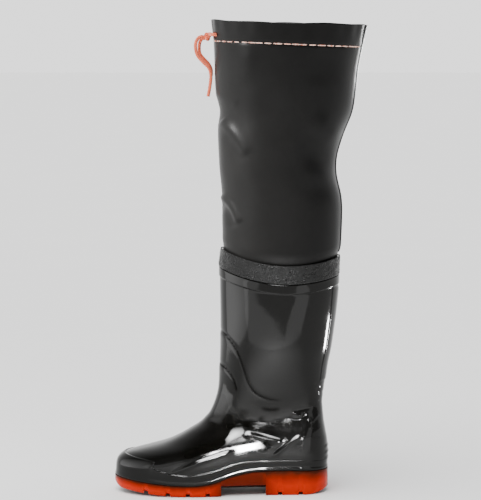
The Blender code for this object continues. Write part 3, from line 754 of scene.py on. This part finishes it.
def stitch_run(name, seats, size, material):
    """Thread stitches in one mesh: each a short arched rod that dips into the cloth at its ends."""
    length, thick = size
    shares = (-0.5, -0.44, -0.3, 0.0, 0.3, 0.44, 0.5)
    around = np.linspace(0, 2 * math.pi, 9)[:-1]
    vertices, faces = [], []
    for centre, tangent, normal in zip(*seats):
        across = np.cross(normal, tangent)
        start = len(vertices)
        for share in shares:
            arch = math.cos(share * math.pi) ** 0.5 if abs(share) < 0.5 else 0.0
            spine = centre + tangent * length * share + normal * thick * (0.62 * arch - 0.35)
            reach = thick / 2 * (0.45 + 0.55 * arch)
            for angle in around:
                aside, up = across * reach * 1.25 * math.cos(angle), normal * reach * math.sin(angle)
                vertices.append(spine + aside + up)
        faces += [[start + i for i in face] for face in grid_faces(len(shares), len(around), False)]
    item = mesh_object(name, vertices, faces, material)


def run_along(line):
    """The way gone at each point of a line."""
    return np.concatenate([[0], np.cumsum(np.linalg.norm(np.diff(line, axis=0), axis=1))])


def points_at(run, places):
    """The points of a line at these places on its way."""
    return np.interp(places, run, np.arange(len(run))).astype(int)


def stitch_seats(line, raised, at):
    """Middles, directions and outward normals of the stitches at these points of a line."""
    tangents = line[np.minimum(at + 3, len(line) - 1)] - line[np.maximum(at - 3, 0)]
    return line[at], unit(tangents), unit(raised[at] - line[at])


def hem_stitches(material):
    """Long orange stitches round the hem line."""
    fine = np.linspace(0, 2 * math.pi, 1441)
    level = level_at(fine, collar_height(fine) - HEM_HEIGHT)[None, :]
    line, raised = (placed(leg_shell(fine, level, up)[0]) for up in (0.0, 0.001))
    run = run_along(line)
    count = int(round(run[-1] / HEM_STITCH_PITCH))
    at = points_at(run, (np.arange(count) + 0.5) * run[-1] / count)
    at = np.array([i for i in at if abs(turned_back(fine[i]) - 180) > SEAM_HALF_ANGLE + 1])
    stitch_run("hem_stitches", stitch_seats(line, raised, at), HEM_STITCH, material)


def seam_stitches(material):
    """Two rows of small black stitches down the back strip."""
    rows = []
    for share in SEAM_STITCH_LINES:
        theta = np.array([math.radians(180 + SEAM_HALF_ANGLE * share)])
        low = joint_level(theta, -0.012)[0]
        level = np.linspace(low, TOP_LEVEL - 0.12, 800)[:, None]
        line, raised = (placed(leg_shell(theta, level, GAP + SEAM_THICKNESS + up)[:, 0])
                        for up in (-SOFT_EDGE, 0.001))
        run = run_along(line)
        at = points_at(run, np.arange(0.003, run[-1] - 0.003, SEAM_STITCH_PITCH))
        rows.append(stitch_seats(line, raised, at))
    seats = [np.concatenate(part) for part in zip(*rows)]
    stitch_run("seam_stitches", seats, SEAM_STITCH, material)


def floor_line(x):
    """Height of the tread's lowest face at its edge and in its middle."""
    spring = TOE_SPRING * np.maximum(1 - x / SPRING_LENGTH, 0.0) ** 1.5
    spring = spring + TOE_BEVEL_RISE * np.maximum(1 - x / TOE_BEVEL_LENGTH, 0.0) ** 2
    bevel_start = LENGTH - HEEL_BEVEL_LENGTH
    spring = spring + HEEL_BEVEL_RISE * np.maximum((x - bevel_start) / HEEL_BEVEL_LENGTH, 0.0) ** 2
    arch = (x > ARCH_START) & (x < HEEL_BREAST)
    return np.where(arch, ARCH_EDGE, spring), np.where(arch, SHANK_HEIGHT, spring)


def outsole_stations():
    """Where the outsole is cut across: many even cuts, and close ones at each sudden change."""
    cuts = LENGTH * (1 - np.cos(np.linspace(0.055, math.pi - 0.055, 150))) / 2
    edges = [(middle + half, SOFT_EDGE * 0.3) for middle in LUG_GAPS
             for half in (-LUG_GAP / 2, LUG_GAP / 2)]
    edges += [(ARCH_START, GAP / 8), (HEEL_BREAST, GAP / 8)]
    for edge, close in edges:
        cuts = [x for x in cuts if abs(x - edge) > SOFT_EDGE * 1.6]
        cuts += [edge - SOFT_EDGE, edge - close, edge + close, edge + SOFT_EDGE]
    return np.array(sorted(cuts))


def outsole_half(x, side):
    """Half width of the outsole's top edge on one side."""
    ends = rounded_end(x / (LENGTH * TOE_ROUND)) * rounded_end((LENGTH - x) / (LENGTH * HEEL_ROUND))
    return (SECTIONS[0].foot * half_outline(x, side) + SIDE_LIP) * ends


def make_outsole(material):
    """The outsole with soft edges, lug bars, arch and side ribs."""
    x = outsole_stations()
    lug, rib = np.zeros(x.shape), np.zeros(x.shape)
    for middle in LUG_GAPS:
        start, end = middle - LUG_GAP / 2, middle + LUG_GAP / 2
        inside = ramp(x, start - SOFT_EDGE, start + SOFT_EDGE)
        lug += LUG_DEPTH * (inside * (1 - ramp(x, end - SOFT_EDGE, end + SOFT_EDGE)))
    for i in range(RIB_COUNT + 4):
        centre = RIB_START - 2 * RIB_PITCH + i * RIB_PITCH + RIB_WIDTH / 2
        rib += RIB_HEIGHT * np.exp(-((x - centre) / RIB_WIDTH * 1.7) ** 2)
    edge, middle = floor_line(x)
    edge, middle, top = edge + lug, middle + lug, sole_top(x)
    tall = top - edge
    rows = []
    for side in (-1, 1):
        wide = outsole_half(x, side)
        taper, round_off = np.minimum(SIDE_TAPER, wide * 0.25), np.minimum(SIDE_ROUND, wide * 0.2)
        narrow = wide - taper
        profile = [(wide * 0.55, top), (wide - round_off * 1.5, top)]
        for angle in np.radians((90, 60, 30, 0)):
            cut = round_off * 0.6
            profile.append((wide - cut * (1 - math.cos(angle)), top - cut * (1 - math.sin(angle))))
        for share in (0.18, 0.32, 0.5, 0.68, 0.82):
            swell = 0.0005 * math.sin(share * math.pi)
            out = wide - taper * share + swell + rib * ramp(share, 0.25, 0.6)
            profile.append((out, top - tall * share))
        for angle in np.radians((0, 30, 60, 90)):
            inward, up = round_off * (1 - math.cos(angle)), round_off * (1 - math.sin(angle))
            profile.append((narrow - inward + rib * 0.8, edge + up))
        profile += [(narrow * 0.78, edge), (narrow * 0.70, (edge + middle) / 2),
                    (narrow * 0.60, middle), (narrow * 0.25, middle)]
        rows.append([np.stack([x, side * y, z], axis=-1) for y, z in profile])
    sole = grid_object("moulded_sole", np.stack(rows[0] + rows[1][::-1], axis=1), False, material)
    sole_map(sole, x, edge, top)
    sole.data.set_sharp_from_angle(angle=math.radians(50))
    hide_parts("outsole")


def sole_map(sole, stations, edge, top):
    """A map of the outsole: how far along the foot, and how high between tread and top edge, with
    faces under the tread marked for painted shadow.
    """
    places = vertex_places(sole)
    along = places[:, 0] - TOE_X
    low, high = np.interp(along, stations, edge), np.interp(along, stations, top)
    rise = (places[:, 2] - low) / np.maximum(high - low, 0.001)
    reach = np.minimum(outsole_half(stations, -1), outsole_half(stations, 1))
    inward = 1 - np.abs(places[:, 1]) / np.interp(along, stations, reach)
    # faces under the tread's middle get -0.3, where the material paints near-black shadow
    rise = np.where((rise < 0.06) & (inward > 0.22), -0.3, rise)
    write_map(sole, "sole_height", along / LENGTH, rise)


def from_collar(ahead, aside, below):
    """A place given from the front of the collar's edge; aside is towards the outer side."""
    front = surface(0.0, float(TOP_LEVEL))
    return tuple(placed((front[0] - ahead, -aside, front[2] - below)))


def cord_curve(name, route, material):
    """A round cord along a smooth line through its route's points."""
    points = np.array(route)
    fine = smooth(points, np.linspace(0, len(points) - 1, 6 * (len(points) - 1) + 1))
    curve = bpy.data.curves.new(name, "CURVE")
    curve.dimensions = "3D"
    curve.bevel_depth = CORD_DIAMETER / 2
    curve.bevel_resolution = 5
    curve.use_fill_caps = True
    spline = curve.splines.new("POLY")
    spline.points.add(len(fine) - 1)
    for point, place in zip(spline.points, fine):
        point.co = (*place, 1.0)
    curve.materials.append(material)
    item = show(name, curve)
    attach(item, "root")
    return item, float(np.linalg.norm(np.diff(fine, axis=0), axis=1).sum())


def knot_mesh(material):
    """An overhand knot: one cord wound over itself where leads and ends meet."""
    turns = np.linspace(0, 2 * math.pi, 73)[:-1]
    centre = np.array(from_collar(*KNOT))
    spine = np.stack([(np.sin(turns) + 2 * np.sin(2 * turns)) / 3, -np.sin(3 * turns),
                      (np.cos(turns) - 2 * np.cos(2 * turns)) / 3], axis=-1) * KNOT_REACH + centre
    tangent = unit(np.roll(spine, -1, axis=0) - np.roll(spine, 1, axis=0))
    outward = spine - centre
    outward -= tangent * (outward * tangent).sum(axis=1, keepdims=True)
    outward /= np.maximum(np.linalg.norm(outward, axis=1, keepdims=True), 1e-6)
    across = np.cross(tangent, outward)
    radius = CORD_DIAMETER / 2 * 0.98
    grid = np.stack([spine + radius * (outward * math.cos(a) + across * math.sin(a))
                     for a in np.linspace(0, 2 * math.pi, 15)[:-1]], axis=1)
    faces = grid_faces(*grid.shape[:2], True)
    knot = mesh_object("cord_knot", grid.reshape(-1, 3), faces, material)
    return knot


def make_cords(material):
    """Each cord end runs from its hole, through the knot, to its hanging tip."""
    knot = knot_mesh(material)
    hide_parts("drawstring_knot")
    lead_out = [from_collar(*point) for point in LEAD]
    lead_in = [from_collar(ahead, -aside, below) for ahead, aside, below in LEAD]
    middle = [from_collar(KNOT[0], 0.0012, KNOT[2] - 0.0004)]
    middle_in = [from_collar(KNOT[0] + 0.0004, -0.0010, KNOT[2] + 0.0008)]
    long_route = lead_out + middle + [from_collar(*point) for point in LONG_TAIL]
    short_route = lead_in + middle_in + [from_collar(*point) for point in SHORT_TAIL]
    long_cord, long_length = cord_curve("cord_long_end", long_route, material)
    short_cord, short_length = cord_curve("cord_short_end", short_route, material)
    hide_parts("drawstring_lead_outer", "drawstring_tail_long")
    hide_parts("drawstring_lead_inner", "drawstring_tail_short")


def feed(node, inputs):
    """Links or sets a node's inputs."""
    for name, value in inputs.items():
        if isinstance(value, bpy.types.NodeSocket):
            node.id_data.links.new(value, node.inputs[name])
        else:
            node.inputs[name].default_value = value


def add_node(kind, inputs):
    """A node in the tree of its first input, which has to be another node's output."""
    node = next(iter(inputs.values())).id_data.nodes.new("ShaderNode" + kind)
    feed(node, inputs)
    return node


def new_material(name, colour, roughness):
    """A material, its shader and its object coordinates."""
    made = bpy.data.materials.new(name)
    made.use_nodes = True
    nodes = made.node_tree.nodes
    shader = nodes["Principled BSDF"]
    feed(shader, {"Base Color": (*colour, 1.0), "Roughness": roughness})
    return made, shader, nodes.new("ShaderNodeTexCoord").outputs["Object"]


def mapped(vector, change, amounts):
    return add_node("Mapping", {"Vector": vector, change: amounts}).outputs["Vector"]


def axes(vector):
    return add_node("SeparateXYZ", {"Vector": vector}).outputs


def map_axes(shader, name):
    """The two values of one of the meshes' maps, as X and Y."""
    source = shader.id_data.nodes.new("ShaderNodeUVMap")
    source.uv_map = name
    return axes(source.outputs["UV"])


def noise(vector, scale, detail=2.0, roughness=0.5):
    inputs = {"Vector": vector, "Scale": scale, "Detail": detail, "Roughness": roughness}
    return add_node("TexNoise", inputs).outputs["Fac"]


def remap(value, low, high, new_low, new_high):
    inputs = {"Value": value, "From Min": low, "From Max": high}
    return add_node("MapRange", {**inputs, "To Min": new_low, "To Max": new_high}).outputs["Result"]


def maths(operation, *values):
    node = add_node("Math", dict(enumerate(values)))
    node.operation = operation
    return node.outputs["Value"]


def bump(height, distance, strength, below=None):
    inputs = {"Height": height, "Distance": distance, "Strength": strength}
    if below is not None:
        inputs["Normal"] = below
    return add_node("Bump", inputs).outputs["Normal"]


def mix_colours(share, first, second):
    node = share.id_data.nodes.new("ShaderNodeMix")
    node.data_type = "RGBA"
    feed(node, {0: share})
    for socket, colour in ((6, first), (7, second)):
        feed(node, {socket: (*colour, 1.0) if isinstance(colour, tuple) else colour})
    return node.outputs[2]


def boot_rubber():
    """Very glossy black moulded rubber with faint waviness, scuffs and dust, and painted shade where
    its reflection is taken out.
    """
    made, shader, vector = new_material("boot_rubber_gloss", (0.005, 0.005, 0.0052), 0.1)
    tone = noise(vector, 9.0, 3.0)
    wave = bump(noise(vector, 16.0), 0.001, 0.25)
    feed(shader, {
        "Base Color": mix_colours(tone, (0.0004, 0.0004, 0.0003), (0.0012, 0.0011, 0.0009)),
        "Roughness": remap(noise(vector, 55.0, 6.0, 0.65), 0.35, 0.75, 0.05, 0.16),
        "Normal": bump(noise(vector, 420.0), 0.0001, 0.2, wave),
        # painted shade: the reflection fades out in the shin's grooves and along the painted shade
        # lines
        "Specular IOR Level": remap(map_axes(shader, "groove")["X"], 0.0, 1.0, 0.5, 0.0),
        "IOR": 1.27,
    })
    return made


def leg_cloth():
    """Satin black coated cloth: fine grain and soft crumple."""
    made, shader, vector = new_material("leg_cloth_satin", (0.006, 0.006, 0.006), 0.36)
    broad = noise(vector, 14.0, 4.0, 0.55)
    crumple = bump(noise(mapped(vector, "Scale", (1.0, 1.0, 0.55)), 26.0, 3.0), 0.0016, 0.18)
    feed(shader, {
        "Base Color": mix_colours(broad, (0.0018, 0.0017, 0.0016), (0.0036, 0.0034, 0.0031)),
        "Roughness": remap(broad, 0.3, 0.7, 0.31, 0.4),
        "Normal": bump(noise(vector, 1500.0, 2.0, 0.6), 0.00012, 0.4, crumple),
        "IOR": 1.245,
    })
    return made


def band_rubber():
    """Rough pitted weld strip with small glossy facets."""
    made, shader, vector = new_material("band_rubber_rough", (0.005, 0.005, 0.005), 0.42)
    pits = add_node("TexVoronoi", {"Vector": vector, "Scale": 520.0}).outputs["Distance"]
    patch = noise(vector, 95.0, 4.0, 0.7)
    feed(shader, {
        "Base Color": mix_colours(patch, (0.001, 0.001, 0.001), (0.004, 0.004, 0.0038)),
        "Roughness": remap(patch, 0.35, 0.65, 0.16, 0.55),
        "Normal": bump(pits, 0.0008, 0.9, bump(patch, 0.0012, 0.7)),
        "IOR": 1.33,
    })
    return made


def outsole_rubber():
    """Translucent orange-red rubber, darker brown towards its top edge, with painted shade along the
    arch and painted near-black shadow on its underside.
    """
    made, shader, vector = new_material("outsole_rubber_orange", (0.26, 0.0065, 0.0006), 0.2)
    place = map_axes(shader, "sole_height")
    cloud = remap(noise(vector, 45.0, 3.0), 0.3, 0.7, -0.12, 0.12)
    top = maths("ADD", remap(place["Y"], 0.4, 0.95, 0.0, 1.0), cloud)
    # painted shade: the sides turn dark brown round the arch's middle
    from_arch = maths("ABSOLUTE", maths("SUBTRACT", place["X"], 0.6))
    arch = remap(from_arch, 0.09, 0.17, 0.86, 0.0)
    darker_top_and_arch_shade = maths("MAXIMUM", maths("MAXIMUM", top, arch), 0.0)
    side = mix_colours(darker_top_and_arch_shade, (0.48, 0.017, 0.0022), (0.038, 0.006, 0.0025))
    # painted shadow: faces under the tread, marked -0.3 in the map, turn near-black
    under = remap(place["Y"], -0.25, -0.02, 1.0, 0.0)
    feed(shader, {
        "Base Color": mix_colours(under, side, (0.018, 0.0025, 0.0009)),
        "Roughness": remap(noise(vector, 80.0, 4.0), 0.3, 0.7, 0.12, 0.26),
        "Normal": bump(noise(vector, 140.0, 3.0), 0.0004, 0.2),
        "Subsurface Weight": 0.12,
        "Subsurface Radius": (1.0, 0.1, 0.02),
        "Subsurface Scale": 0.004,
        "IOR": 1.22,
        "Specular Tint": (1.0, 0.42, 0.22, 1.0),
    })
    return made


def cord_orange():
    """Salmon-orange braided cord."""
    made, shader, vector = new_material("cord_orange_braid", (0.82, 0.21, 0.09), 0.78)
    waves = []
    for turn in (0.9, -0.9):
        turned = mapped(vector, "Rotation", (turn, turn * 0.6, 0.0))
        inputs = {"Vector": turned, "Scale": 260.0, "Distortion": 1.2}
        waves.append(add_node("TexWave", inputs).outputs["Fac"])
    braid = maths("MAXIMUM", *waves)
    feed(shader, {
        "Base Color": mix_colours(braid, (0.46, 0.036, 0.011), (1.0, 0.2, 0.085)),
        "Normal": bump(braid, 0.0005, 0.8),
        "Sheen Weight": 0.25,
    })
    return made


def stitch_thread():
    """Twisted thread, pinkish orange with pale tops."""
    made, shader, vector = new_material("stitch_thread_orange", (0.86, 0.36, 0.24), 0.6)
    tone = noise(vector, 420.0, 3.0, 0.6)
    pale = remap(tone, 0.36, 0.56, 0.0, 1.0)
    feed(shader, {"Base Color": mix_colours(pale, (0.72, 0.17, 0.085), (0.92, 0.66, 0.55)),
                  "Normal": bump(tone, 0.0003, 0.6)})
    return made


def black_thread():
    made, shader, vector = new_material("stitch_thread_black", (0.02, 0.02, 0.021), 0.5)
    feed(shader, {"Normal": bump(noise(vector, 1800.0), 0.0002, 0.6)})
    return made


def insole_felt():
    """Dark felt with short fibres."""
    made, shader, vector = new_material("insole_felt_dark", (0.045, 0.045, 0.046), 0.95)
    fibres = noise(mapped(vector, "Scale", (1.0, 3.0, 1.0)), 900.0, 4.0, 0.7)
    tone = noise(vector, 60.0, 3.0)
    feed(shader, {"Base Color": mix_colours(tone, (0.03, 0.03, 0.031), (0.07, 0.068, 0.066)),
                  "Normal": bump(fibres, 0.0006, 0.7)})
    return made


def make_camera():
    data = bpy.data.cameras.new("camera")
    data.sensor_width = SENSOR
    data.lens = FOCAL_PIXELS / FRAME_HEIGHT_PIXELS * SENSOR
    camera = show("camera", data)
    middle = (CAD_LOW.x + CAD_HIGH.x) / 2
    camera.location = (middle + CAMERA_SHIFT, -CAMERA_DISTANCE, CAMERA_HEIGHT)
    camera.rotation_euler = (math.radians(90 - CAMERA_PITCH), 0.0, 0.0)
    bpy.context.scene.camera = camera


def make_floor():
    """A plain pale floor."""
    made, shader, vector = new_material("floor_pale", (0.86, 0.86, 0.86), 0.9)
    tone = mix_colours(noise(vector, 3.0, 3.0), (0.85, 0.85, 0.85), (0.88, 0.88, 0.875))
    feed(shader, {"Base Color": tone, "Specular IOR Level": 0.1})
    data = bpy.data.meshes.new("floor")
    corners = [(-1, -1), (1, -1), (1, 1), (-1, 1)]
    data.from_pydata([(FLOOR_REACH * x, FLOOR_REACH * y, 0) for x, y in corners], [], [(0, 1, 2, 3)])
    data.materials.append(made)
    floor = show("floor", data)
    floor.location.z = FLOOR_DROP


# Soft boxes: place, size, power, the point that they face, spread, roll and what they light
Box = namedtuple("Box", "name place size power aim spread roll lights")
BOXES = tuple(Box(*row) for row in (
    ("left_wall", (-0.8, -0.2, 0.38), (1.0, 0.76), 3.3, (0.0, 0.0, 0.36), 90, 0, "boot"),
    ("leg_wall", (-0.8, -0.2, 0.45), (1.0, 0.9), 3.4, (0.0, 0.0, 0.4), 180, 0, "rest"),
    ("front_left_card", (-0.3, -0.6, 0.072), (0.9, 0.25), 1.4, (-0.3, 0.0, 0.072), 180, -18, "boot"),
    ("front_right_card", (0.46, -0.6, 0.126), (0.6, 0.25), 0.9, (0.46, 0.0, 0.126), 180, 40, "boot"),
    ("floor_pool", (0.02, -0.47, 1.3), (0.1, 0.1), 3.0, (0.02, -0.47, 0.0), 36, 0, "all"),
    ("fold_box", (-0.695, -0.444, 1.0), (0.2, 0.2), 1.7, (-0.055, -0.06, 0.47), 26, 0, "leg"),
    ("leg_rim", (0.42, 0.75, 0.59), (0.25, 0.12), 0.6, (0.15, 0.0, 0.6), 60, 0, "leg"),
    ("band_glint", (-0.05, -1.0, 0.55), (0.16, 0.1), 0.35, (0.0, -0.06, 0.325), 40, 0, "band"),
    ("right_strip", (0.56, 0.1, 0.08), (0.05, 0.1), 0.11, (0.12, -0.02, 0.262), 20, 0, "boot"),
    ("foot_low_box", (0.217, -1.045, 0.128), (0.085, 0.135), 0.24, (-0.02, -0.045, 0.085), 10, 0,
     "boot"),
    ("foot_high_box", (0.035, -1.045, 0.61), (0.35, 0.4), 3.4, (0.0, -0.044, 0.085), 40, 0, "boot"),
))
LEG_PIECES = ("cloth_leg", "hem_facing", "back_strip")
SUN_STRENGTH = 4.2
SUN_ANGLE = 50.0
SUN_TURN = (18.0, -14.0, 0.0)
HORIZON_LIGHT = 1.82
ZENITH_LIGHT = 0.8
FRONT_SHARE = 0.30          # of that light, from the camera's side


def make_world():
    """Pale behind the wader, dimmer overhead and on the camera's side."""
    world = bpy.data.worlds.new("studio")
    world.use_nodes = True
    nodes = world.node_tree.nodes
    way = axes(nodes.new("ShaderNodeTexCoord").outputs["Generated"])
    height = remap(way["Z"], 0.20, 0.90, HORIZON_LIGHT, ZENITH_LIGHT)
    strength = maths("MULTIPLY", height, remap(way["Y"], -0.15, 0.35, FRONT_SHARE, 1.0))
    feed(nodes["Background"], {"Color": (1.0, 1.0, 1.0, 1.0), "Strength": strength})
    bpy.context.scene.world = world


def light_only(light, which):
    """Keeps a light to the boot, the leg, the joint band, or all but the boot."""
    if which == "all":
        return
    pieces = {"boot": ("boot",), "leg": LEG_PIECES, "band": ("weld_strip",)}
    lit = bpy.data.collections.new(light.name + "_lights")
    for item in bpy.context.scene.objects:
        wanted = item.name in pieces[which] if which in pieces else item.name != "boot"
        if item.type in ("MESH", "CURVE") and wanted:
            lit.objects.link(item)
    light.light_linking.receiver_collection = lit


def make_lights():
    for box in BOXES:
        data = bpy.data.lights.new(box.name, "AREA")
        data.shape = "RECTANGLE"
        data.size, data.size_y = box.size
        data.energy, data.spread = box.power, math.radians(box.spread)
        light = show(box.name, data)
        light.location = box.place
        facing = (Vector(box.aim) - Vector(box.place)).to_track_quat("-Z", "Y")
        light.rotation_euler = (facing @ Quaternion((0, 0, 1), math.radians(box.roll))).to_euler()
        light.visible_camera = False
        light_only(light, box.lights)
    data = bpy.data.lights.new("soft_sun", "SUN")
    data.energy, data.angle = SUN_STRENGTH, math.radians(SUN_ANGLE)
    sun = show("soft_sun", data)
    sun.rotation_euler = [math.radians(turn) for turn in SUN_TURN]
    light_only(sun, "rest")


def main():
    make_camera()
    make_cords(cord_orange())
    rubber, cloth = boot_rubber(), leg_cloth()
    make_outsole(outsole_rubber())
    make_boot(rubber)
    make_leg(cloth)
    make_hem(cloth)
    make_band(band_rubber())
    make_seam(cloth)
    hem_stitches(stitch_thread())
    seam_stitches(black_thread())
    insole = frame["nodes"]["insole"]
    insole.data.materials.clear()
    insole.data.materials.append(insole_felt())
    make_floor()
    make_world()
    make_lights()


main()
